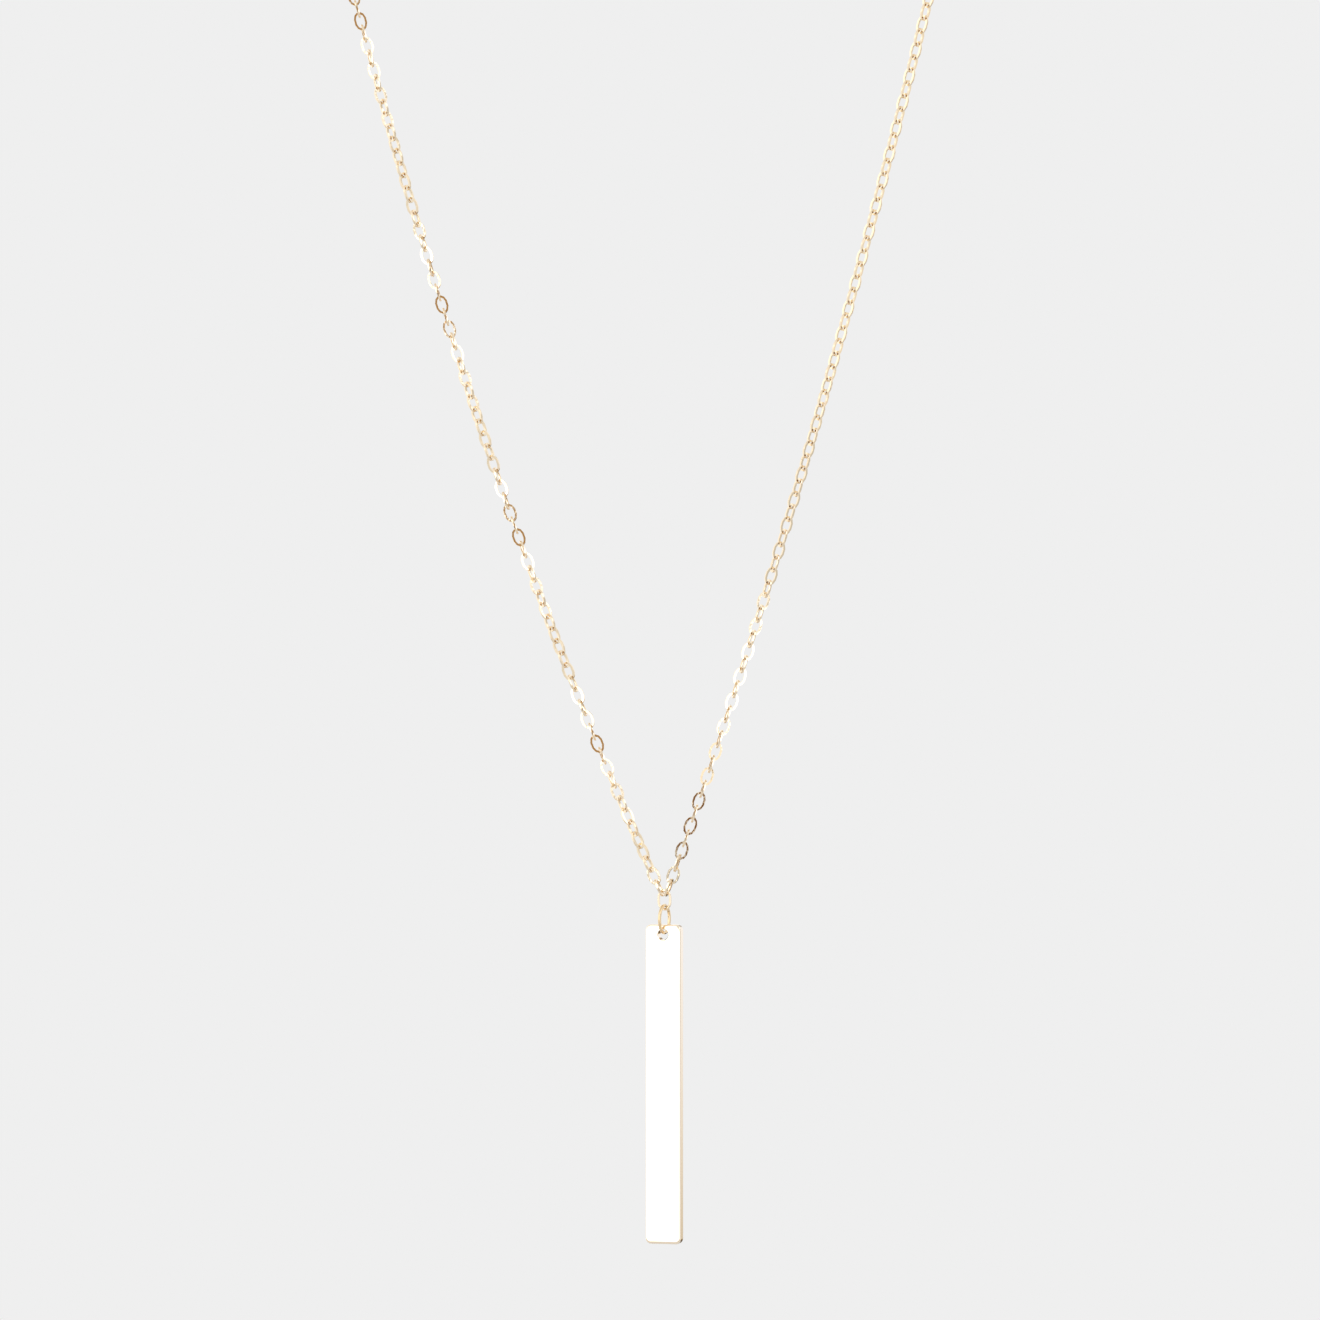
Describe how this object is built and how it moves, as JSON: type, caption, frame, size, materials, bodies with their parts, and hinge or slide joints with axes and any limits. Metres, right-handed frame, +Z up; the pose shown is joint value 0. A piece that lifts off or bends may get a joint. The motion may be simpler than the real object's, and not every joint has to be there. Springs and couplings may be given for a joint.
{
  "type": "bar pendant necklace",
  "caption": "Flat upright bar pendant on a jump ring, hanging from a closed loop of fine oval cable chain.",
  "frame": {"origin": "top centre of the loop, in the middle of the clasp, where the necklace lies over a neck or a hook", "axes": "+Z up, the bar's front face towards -Y, the loop in the XZ plane"},
  "size_m": [0.0905, 0.0036, 0.2374],
  "materials": {
    "bar_metal": "mirror polished, pale gold plating",
    "ring_metal": "polished wire, pale gold plating",
    "chain_metal": "polished flattened wire, pale gold plating",
    "clasp_metal": "polished, pale gold plating"
  },
  "bodies": {
    "necklace": {"chain_left": "chain_metal", "chain_right": "chain_metal", "chain_back": "chain_metal", "clasp": "clasp_metal", "end_ring": "clasp_metal", "centre_link": "ring_metal"},
    "drop_ring": {"jump_ring": "ring_metal"},
    "pendant": {"bar": "bar_metal"}
  },
  "joints": [
    {"name": "ring_swing", "type": "hinge", "parent": "necklace", "child": "drop_ring", "pos_m": [0.00248, 0, -0.19793], "axis": [1, 0, 0], "range_deg": [-45, 45]},
    {"name": "bar_swing", "type": "hinge", "parent": "drop_ring", "child": "pendant", "pos_m": [0.00248, 0, -0.2005], "axis": [0, 1, 0], "range_deg": [-45, 45]}
  ]
}
